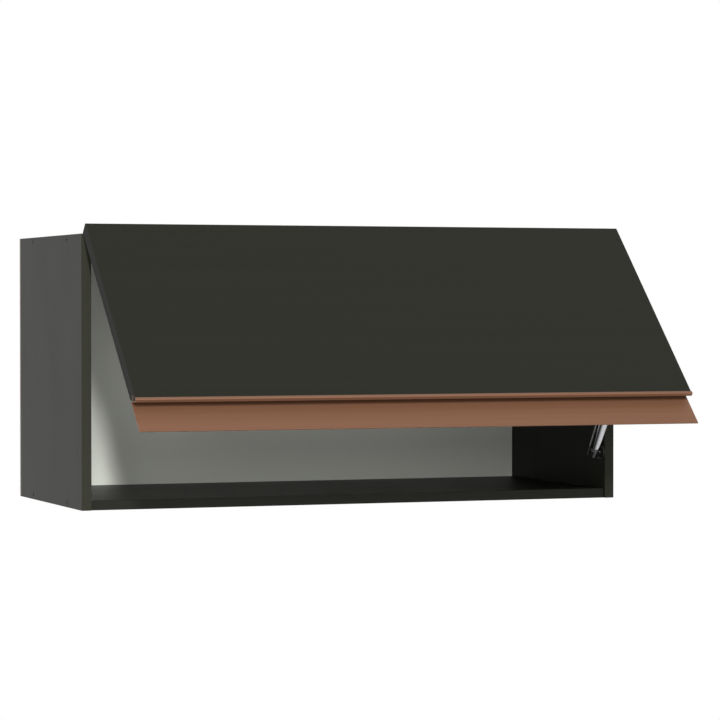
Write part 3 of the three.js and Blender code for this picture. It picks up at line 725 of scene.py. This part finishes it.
def dress_boards():
    for node, (direction, base, band) in BOARDS.items():
        matrix = board_frame(node, direction, base)
        low, high = box_in(node, matrix)
        material = graphite_board("graphite_" + node, matrix, (high - low) / 2, band)
        dress(node, material, BOARD_SOFT)
    dress("back_panel", WHITE, BACK_SOFT)


def dress_metalwork():
    dress("handle_profile", COPPER, PROFILE_SOFT)
    for side in ("left", "right"):
        dress(f"{side}_hinge_frame_leaf", ZINC, LEAF_SOFT)
        dress(f"{side}_hinge_flap_leaf", ZINC, LEAF_SOFT)
        dress(f"{side}_hanger", ZINC, PLATE_SOFT)
    dress("flap_bracket", ZINC, PLATE_SOFT)


# ------------------------------------------------------------------- gas strut


def add_strut():
    strut_length = box_in("strut_rod_socket", STRUT)[1].z / MM - ROD_SOCKET_RADIUS
    add_tube()
    add_guide()
    add_base_socket()
    add_rod(strut_length)
    add_piston()
    add_rod_socket(strut_length)


def add_tube():
    groove = TUBE_END - TUBE_GROOVE_FROM_END
    mouth = TUBE_BORE - TUBE_ROLL
    outline = [(0, TUBE_STUB_START), (TUBE_STUB, TUBE_STUB_START), (TUBE_STUB, TUBE_START),
               (TUBE_RADIUS, TUBE_START), (TUBE_RADIUS, groove - TUBE_GROOVE_HALF),
               (TUBE_RADIUS - TUBE_GROOVE_DEPTH, groove),
               (TUBE_RADIUS, groove + TUBE_GROOVE_HALF), (TUBE_RADIUS, TUBE_END),
               (mouth, TUBE_END), (mouth, TUBE_END - TUBE_LIP),
               (TUBE_BORE, TUBE_END - TUBE_LIP_ROOT), (TUBE_BORE, TUBE_FLOOR),
               (0, TUBE_FLOOR)]
    turned_piece("strut_tube_polished", outline, STRUT, "strut_tube", POLISHED,
                 TUBE_ROLL)


def add_guide():
    inner = ROD_RADIUS + SLIDE_GAP
    start = GUIDE_END - GUIDE_LENGTH
    outline = [(inner, start), (GUIDE_RADIUS, start), (GUIDE_RADIUS, GUIDE_END),
               (ROD_RADIUS + GUIDE_FUNNEL, GUIDE_END), (inner, GUIDE_END - GUIDE_FUNNEL_DEPTH)]
    turned_piece("strut_rod_seal", outline, STRUT, "strut_rod_guide", BLACK)


def add_base_socket():
    outline = [(0, -SOCKET_END), (SOCKET_RADIUS - SOCKET_CHAMFER, -SOCKET_END),
               (SOCKET_RADIUS, SOCKET_CHAMFER - SOCKET_END), (SOCKET_RADIUS, SOCKET_SHOULDER),
               (SOCKET_WAIST, SOCKET_WAIST_START), (SOCKET_WAIST, SOCKET_MOUTH),
               (0, SOCKET_MOUTH)]
    cup_radius = BALL_RADIUS + SOCKET_GAP
    cup = bmesh.new()
    bmesh.ops.create_uvsphere(cup, u_segments=SMALL_ROUND, v_segments=BALL_RINGS,
                              radius=cup_radius * MM)
    mouth = cylinder(cup_radius, 0, 2 * SOCKET_RADIUS)
    mouth.transform(Z_TO_X)
    stub = cylinder(TUBE_STUB + SOCKET_GAP, TUBE_STUB_START - SOCKET_GAP, 2 * SOCKET_MOUTH)
    clip = block((-2 * SOCKET_RADIUS, -CLIP_SLOT_HALF, CLIP_SLOT_LOW),
                 (CLIP_SLOT_DEPTH - SOCKET_RADIUS, CLIP_SLOT_HALF, CLIP_SLOT_HIGH))
    body = lathe(rounded(outline, SOCKET_SOFT), ROUND)
    data = carved(body, [cup, mouth, stub, clip], "strut_base_socket_moulded")
    piece("strut_base_socket_moulded", data, STRUT, "strut_base_socket", GLOSS_BLACK)


def add_rod(strut_length):
    start = PISTON_END - PISTON_LENGTH
    end = strut_length - ROD_SEAT
    outline = [(0, start), (ROD_RADIUS, start), (ROD_RADIUS, end), (0, end)]
    turned_piece("strut_rod_polished", outline, STRUT, "strut_rod", POLISHED)


def add_piston():
    inner = ROD_RADIUS + SLIDE_GAP
    start = PISTON_END - PISTON_LENGTH
    low = start + PISTON_GROOVE
    high = low + PISTON_GROOVE
    bottom = GUIDE_RADIUS - PISTON_GROOVE_DEPTH
    outline = [(inner, start), (GUIDE_RADIUS, start), (GUIDE_RADIUS, low),
               (bottom, low + PISTON_GROOVE_SLOPE), (bottom, high - PISTON_GROOVE_SLOPE),
               (GUIDE_RADIUS, high), (GUIDE_RADIUS, PISTON_END), (inner, PISTON_END)]
    turned_piece("strut_piston_grooved", outline, STRUT, "strut_piston", ZINC)


def add_rod_socket(strut_length):
    """The rod's end fitting: a barrel across the strut, joined to a grooved neck."""
    name = "strut_rod_socket_moulded"
    barrel_outline = [(0, -ROD_SOCKET_HALF), (ROD_SOCKET_RADIUS, -ROD_SOCKET_HALF),
                      (ROD_SOCKET_RADIUS, ROD_SOCKET_HALF), (0, ROD_SOCKET_HALF)]
    barrel = lathe(rounded(barrel_outline, ROD_SOCKET_SOFT), ROUND)
    barrel.transform(Z_TO_X)
    neck_outline = [(0, -ROD_NECK_LENGTH), (ROD_NECK_RADIUS, -ROD_NECK_LENGTH),
                    (ROD_NECK_RADIUS, -NECK_GROOVE - NECK_GROOVE_HALF),
                    (ROD_NECK_RADIUS - NECK_GROOVE_HALF, -NECK_GROOVE),
                    (ROD_NECK_RADIUS, -NECK_GROOVE + NECK_GROOVE_HALF),
                    (ROD_NECK_RADIUS, 0), (0, 0)]
    neck = lathe(rounded(neck_outline, ROD_NECK_SOFT), ROUND)
    seat = cylinder(ROD_RADIUS + SLIDE_GAP, -2 * ROD_NECK_LENGTH, ROD_END_GAP - ROD_SEAT)
    whole = bmesh_of(combined(barrel, [neck], "UNION", name))
    place = STRUT @ Matrix.Translation((0, 0, strut_length * MM))
    piece(name, carved(whole, [seat], name), place, "strut_rod_socket", BLACK)


def add_base_plate():
    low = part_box("strut_base_plate")[0].x
    place = Matrix.Translation((low, STRUT_BASE.y, STRUT_BASE.z)) @ Z_TO_X
    bottom = BASE_PLATE_THICKNESS + CUT_PAST
    outline = [(0, 0), (BASE_BOSS_RADIUS, 0), (BASE_BOSS_FOOT, BASE_STEP),
               (BASE_PLATE_RADIUS - BASE_RIM_SLOPE, BASE_STEP), (BASE_PLATE_RADIUS, BASE_RIM),
               (BASE_PLATE_RADIUS, BASE_PLATE_THICKNESS), (0, BASE_PLATE_THICKNESS)]
    head = BASE_SCREW_HEAD + SLIDE_GAP
    sink = [(0, -CUT_PAST), (head, -CUT_PAST), (head, 0), (BASE_SCREW_SHANK, BASE_SCREW_SINK),
            (BASE_SCREW_SHANK, bottom), (0, bottom)]
    cutters = [cylinder(BALL_NECK + SLIDE_GAP, -CUT_PAST, bottom)]
    for sign in (1, -1):
        hole = lathe(sink, SMALL_ROUND)
        hole.transform(Matrix.Translation((sign * BASE_SCREW_SPREAD * MM, 0, 0)))
        cutters.append(hole)
    body = lathe(rounded(outline, BASE_PLATE_SOFT), ROUND)
    data = carved(body, cutters, "strut_base_plate_moulded")
    piece("strut_base_plate_moulded", data, place, "strut_base_plate", BLACK)


def add_ball_stud():
    place = Matrix.Translation(STRUT_BASE) @ Z_TO_X
    outline = [(0, -BALL_RADIUS)]
    last = math.pi - math.asin(BALL_NECK / BALL_RADIUS)
    for step in range(1, BALL_RINGS + 1):
        turn = last * step / BALL_RINGS
        outline.append((BALL_RADIUS * math.sin(turn), -BALL_RADIUS * math.cos(turn)))
    outline += [(BALL_NECK, NECK_REACH), (0, NECK_REACH)]
    data = data_of(lathe(outline, ROUND), "strut_ball_turned")
    piece("strut_ball_turned", data, place, "strut_base_ball_stud", ZINC)


def add_flap_stud():
    low, high = box_in("flap_stud", FLAP)
    middle = (low + high) / 2
    place = FLAP @ Matrix.Translation((low.x, middle.y, middle.z)) @ Z_TO_X
    reach = (high.x - low.x) / MM
    outline = [(0, 0), (STUD_END, 0), (STUD_COLLAR, STUD_CHAMFER), (STUD_TENON, STUD_CHAMFER),
               (STUD_TENON, STUD_TENON_END), (STUD_COLLAR, STUD_TENON_END),
               (STUD_COLLAR, reach - STUD_CHAMFER), (STUD_END, reach), (0, reach)]
    turned_piece("flap_stud_turned", outline, place, "flap_stud", ZINC,
                 STUD_SOFT)


# ------------------------------------------------------ screws, nails and pins


def thread(size):
    """Radius of a screw at a height and turn: a helical ridge below the head."""
    start = -(size["head"] - size["shank"]) - size["pitch"]
    end = SCREW_TIP / 2 - size["length"]

    def radius_at(radius, height, turn):
        if height > start or height < end:
            return radius
        phase = (height / size["pitch"] - turn / math.tau) % 1.0
        crest = max(0.0, 1 - abs(phase - 0.5) * THREAD_STEEPNESS)
        return radius - THREAD_DEPTH * (1 - crest)
    return radius_at


def screw_outline(size):
    cone = size["head"] - size["shank"]
    outline = [(0, 0), (size["head"] - SCREW_HEAD_CHAMFER, 0),
               (size["head"], -SCREW_HEAD_CHAMFER), (size["shank"], -cone)]
    step = size["pitch"] / THREAD_RINGS
    height = -cone - step
    while height > SCREW_TIP - size["length"]:
        outline.append((size["shank"], height))
        height -= step
    point_radius, point_reach = SCREW_POINT
    outline.append((point_radius, point_reach - size["length"]))
    outline.append((0, -size["length"]))
    return outline


def cross_recess(size):
    """A tapered cross, and the small square star between its arms."""
    half = size["recess"] / 2
    depth = CROSS_DEPTH[0] * half + CROSS_DEPTH[1]
    arm = CROSS_ARM[0] * half + CROSS_ARM[1]
    cutters = []
    for turn in (0, math.pi / 2):
        slot = block((-half, -arm, -depth), (half, arm, CUT_PAST))
        for vertex in slot.verts:
            if vertex.co.z < 0:
                vertex.co.x *= CROSS_TAPER
        slot.transform(Matrix.Rotation(turn, 4, "Z"))
        cutters.append(slot)
    wide = STAR_WIDTH * arm
    star = block((-wide, -wide, -STAR_DEPTH * depth), (wide, wide, CUT_PAST))
    star.transform(Matrix.Rotation(math.pi / 4, 4, "Z"))
    return [*cutters, star]


def hexagon_recess(size):
    flat_to_corner = 1 / math.cos(math.pi / HEXAGON)
    radius = size["recess"] / 2 * flat_to_corner
    return [cylinder(radius, -HEXAGON_DEPTH * size["recess"], CUT_PAST, HEXAGON)]


def screw_data(kind):
    size = SCREW_SIZES[kind]
    body = lathe(screw_outline(size), SMALL_ROUND, thread(size))
    recess = hexagon_recess(size) if kind == "assembly" else cross_recess(size)
    return carved(body, recess, f"{kind}_screw")


def nail_data():
    outline = [(0, 0), (NAIL_HEAD - NAIL_HEAD_CHAMFER, 0), (NAIL_HEAD, -NAIL_HEAD_CHAMFER),
               (NAIL_SHANK, -NAIL_HEAD_DEPTH), (NAIL_SHANK, NAIL_TIP - NAIL_LENGTH),
               (0, -NAIL_LENGTH)]
    return data_of(lathe(outline, SMALL_ROUND), "nail")


def screw_frame(node):
    """Where a CAD screw's head is and which way it points, found from its mesh."""
    base = FLAP if nodes[node]["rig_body"] == "flap" else WORLD
    low, high = box_in(node, base)
    size = high - low
    axis = max(range(3), key=lambda i: size[i])
    back = base.inverted()
    points = [back @ vertex.co for vertex in nodes[node].data.vertices]
    middle = (low + high) / 2

    def width_near(level):
        near = [point for point in points if abs(point[axis] - level) < SCREW_END_BAND * MM]
        return max((point - middle).length_squared - (point[axis] - middle[axis]) ** 2
                   for point in near)
    head_high = width_near(high[axis]) > width_near(low[axis])
    up = Vector((0, 0, 0))
    up[axis] = 1 if head_high else -1
    place = middle.copy()
    place[axis] = high[axis] if head_high else low[axis]
    turn = up.to_track_quat("Z", "Y").to_matrix().to_4x4()
    return base @ Matrix.Translation(place) @ turn


def fastener_kind(node):
    if node.startswith("back_nail"):
        return "nail"
    if not node.endswith("_screw"):
        return None
    if "hinge" in node:
        return "hinge"
    if node.startswith(("strut", "flap")) or "hanger" in node:
        return "plate"
    return "assembly"


def fastener_finish(node, kind):
    if kind == "assembly":
        return PAINTED_SCREW
    return DARK_SCREW if kind == "nail" or node.startswith("strut_base") else PLATED_SCREW


def add_fasteners():
    data = {kind: screw_data(kind) for kind in SCREW_SIZES}
    data["nail"] = nail_data()
    for node in sorted(nodes):
        kind = fastener_kind(node)
        if kind is not None:
            piece(node + "_turned", data[kind].copy(), screw_frame(node), node,
                  fastener_finish(node, kind))


def add_hinge_pins():
    head = PIN_HALF + SLIDE_GAP
    top = head + PIN_HEAD_THICKNESS
    outline = [(0, -PIN_HALF), (PIN_RADIUS, -PIN_HALF), (PIN_RADIUS, head),
               (PIN_HEAD_RADIUS, head), (PIN_HEAD_RADIUS, PIN_HALF + PIN_HEAD_RIM),
               (PIN_RADIUS, top), (0, top)]
    for side in ("left", "right"):
        node = f"{side}_hinge_pin"
        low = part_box(node)[0].x
        place = Matrix.Translation((low + PIN_HALF * MM, HINGE.y, HINGE.z)) @ Z_TO_X
        turned_piece(node + "_turned", outline, place, node, ZINC, PIN_SOFT,
                     SMALL_ROUND)


def add_bumpers():
    """Soft domed bumpers on the flap's back."""
    outline = [(0, 0), (BUMPER_RADIUS, 0), (BUMPER_RADIUS, BUMPER_WALL), BUMPER_SHOULDER,
               (BUMPER_TOP, BUMPER_THICKNESS), (0, BUMPER_THICKNESS)]
    for side in ("left", "right"):
        node = f"{side}_bumper"
        low, high = box_in(node, FLAP)
        middle = (low + high) / 2
        place = FLAP @ Matrix.Translation((middle.x, low.y, middle.z)) @ Z_TO_Y
        turned_piece(node + "_domed", outline, place, node, CLEAR,
                     facets=SMALL_ROUND)


# ------------------------------------------------------------ floor and lights

# Lengths here are in metres
FLOOR_DROP = 4.6            # below the cabinet's middle, and below any camera
FLOOR_SIZE = 26
FLOOR_COLOR = (0.82, 0.82, 0.82)
FLOOR_ROUGHNESS = 0.8
WORLD_LIGHT = 0.44
LAMP_AIM = Vector((-0.21, 0, -0.1))
LAMPS = {                   # degrees left, above and of lean, distance, width, height, power
    "key": (15.2, 22.2, 23.5, 7.0, 0.39, 1.95, 475),
    "fill": (12, -9, 0, 3.6, 2.6, 2.3, 32),
    "low_fill": (12, 7, 0, 3.6, 2.0, 0.3, 13),
}
# A glowing card seen only in reflections, which paints a dark reflection with a pale side onto
# the polished strut: painted reflection
REFLECTION_CARD_LOW = Vector((-0.3, -0.8, -0.62))
REFLECTION_CARD_HIGH = Vector((1.3, -0.1, -0.62))
PAINTED_REFLECTION_TONES = ((0.0, 0.09), (0.12, 0.09), (0.16, 0.015), (0.24, 0.015), (0.5, 0.75))


def add_world():
    """Even light, with a white background for the camera, mirrors and clear plastic."""
    world = bpy.data.worlds.new("studio")
    world.use_nodes = True
    tree = world.node_tree
    background = tree.nodes["Background"]
    background.inputs["Color"].default_value = (1, 1, 1, 1)
    paths = tree.nodes.new("ShaderNodeLightPath")
    seen = paths.outputs["Is Camera Ray"]
    for kind in ("Is Glossy Ray", "Is Transmission Ray"):
        either = tree.nodes.new("ShaderNodeMath")
        either.operation = "MAXIMUM"
        tree.links.new(seen, either.inputs[0])
        tree.links.new(paths.outputs[kind], either.inputs[1])
        seen = either.outputs[0]
    level = tree.nodes.new("ShaderNodeMapRange")
    level.inputs["To Min"].default_value = WORLD_LIGHT
    level.inputs["To Max"].default_value = 1
    tree.links.new(seen, level.inputs["Value"])
    tree.links.new(level.outputs["Result"], background.inputs["Strength"])
    bpy.context.scene.world = world


def add_lamps():
    """A leaning key strip that looks in past the flap's left end, and two wide fills."""
    for name, (azimuth, height, lean, distance, width, tall, power) in LAMPS.items():
        data = bpy.data.lights.new(name, "AREA")
        data.shape = "RECTANGLE"
        data.size = width
        data.size_y = tall
        data.energy = power
        turn = Matrix.Rotation(math.radians(-azimuth), 4, "Z")
        tilt = Matrix.Rotation(math.radians(90 - height), 4, "X")
        back_off = Matrix.Translation((0, 0, distance))
        roll = Matrix.Rotation(math.radians(lean), 4, "Z")
        lamp = linked(data, name)
        lamp.matrix_world = Matrix.Translation(LAMP_AIM) @ turn @ tilt @ back_off @ roll


def level_sheet(name, width, depth, place):
    """A flat level rectangle about its place."""
    mesh = bmesh.new()
    bmesh.ops.create_grid(mesh, x_segments=1, y_segments=1, size=0.5)
    mesh.transform(Matrix.Diagonal((width, depth, 1, 1)))
    sheet = linked(data_of(mesh, name), name)
    sheet.location = place
    return sheet


def add_painted_reflection_card():
    """A glowing card under the strut, dark to the left, that only polished surfaces see: a
    painted reflection on the polished tube.
    """
    size = REFLECTION_CARD_HIGH - REFLECTION_CARD_LOW
    painted_reflection_card = level_sheet("painted_reflection_card", size.x, size.y, (REFLECTION_CARD_LOW + REFLECTION_CARD_HIGH) / 2)
    painted_reflection_card.data.materials.append(painted_reflection_tones())
    for ray in ("camera", "diffuse", "shadow", "transmission", "volume_scatter"):
        setattr(painted_reflection_card, "visible_" + ray, False)


def painted_reflection_tones():
    """Glowing grey tones along the card, given as (place, tone), for the painted reflection.
    """
    material = new_material("painted_reflection_card", (0, 0, 0), 1.0, Emission_Strength=1.0,
                            Specular_IOR_Level=0.0)
    place = add(material, "ShaderNodeTexCoord").outputs["Generated"]
    split = add(material, "ShaderNodeSeparateXYZ", {"Vector": place})
    ramp = add(material, "ShaderNodeValToRGB", {"Fac": split.outputs["X"]})
    stops = ramp.color_ramp.elements
    while len(stops) < len(PAINTED_REFLECTION_TONES):
        stops.new(1.0)
    for stop, (place_along, tone) in zip(stops, PAINTED_REFLECTION_TONES):
        stop.position = place_along
        stop.color = (tone, tone, tone, 1)
    connect(material, "Emission Color", ramp.outputs["Color"])
    return material


def add_floor():
    floor = level_sheet("floor", FLOOR_SIZE, FLOOR_SIZE, (0, 0, -FLOOR_DROP))
    floor.data.materials.append(new_material("pale_floor", FLOOR_COLOR, FLOOR_ROUGHNESS))


# -------------------------------------------------------------------- assembly

dress_boards()
dress_metalwork()
add_strut()
add_base_plate()
add_ball_stud()
add_flap_stud()
add_fasteners()
add_hinge_pins()
add_bumpers()
add_floor()
add_world()
add_lamps()
add_painted_reflection_card()
bpy.context.scene.view_settings.view_transform = "Standard"
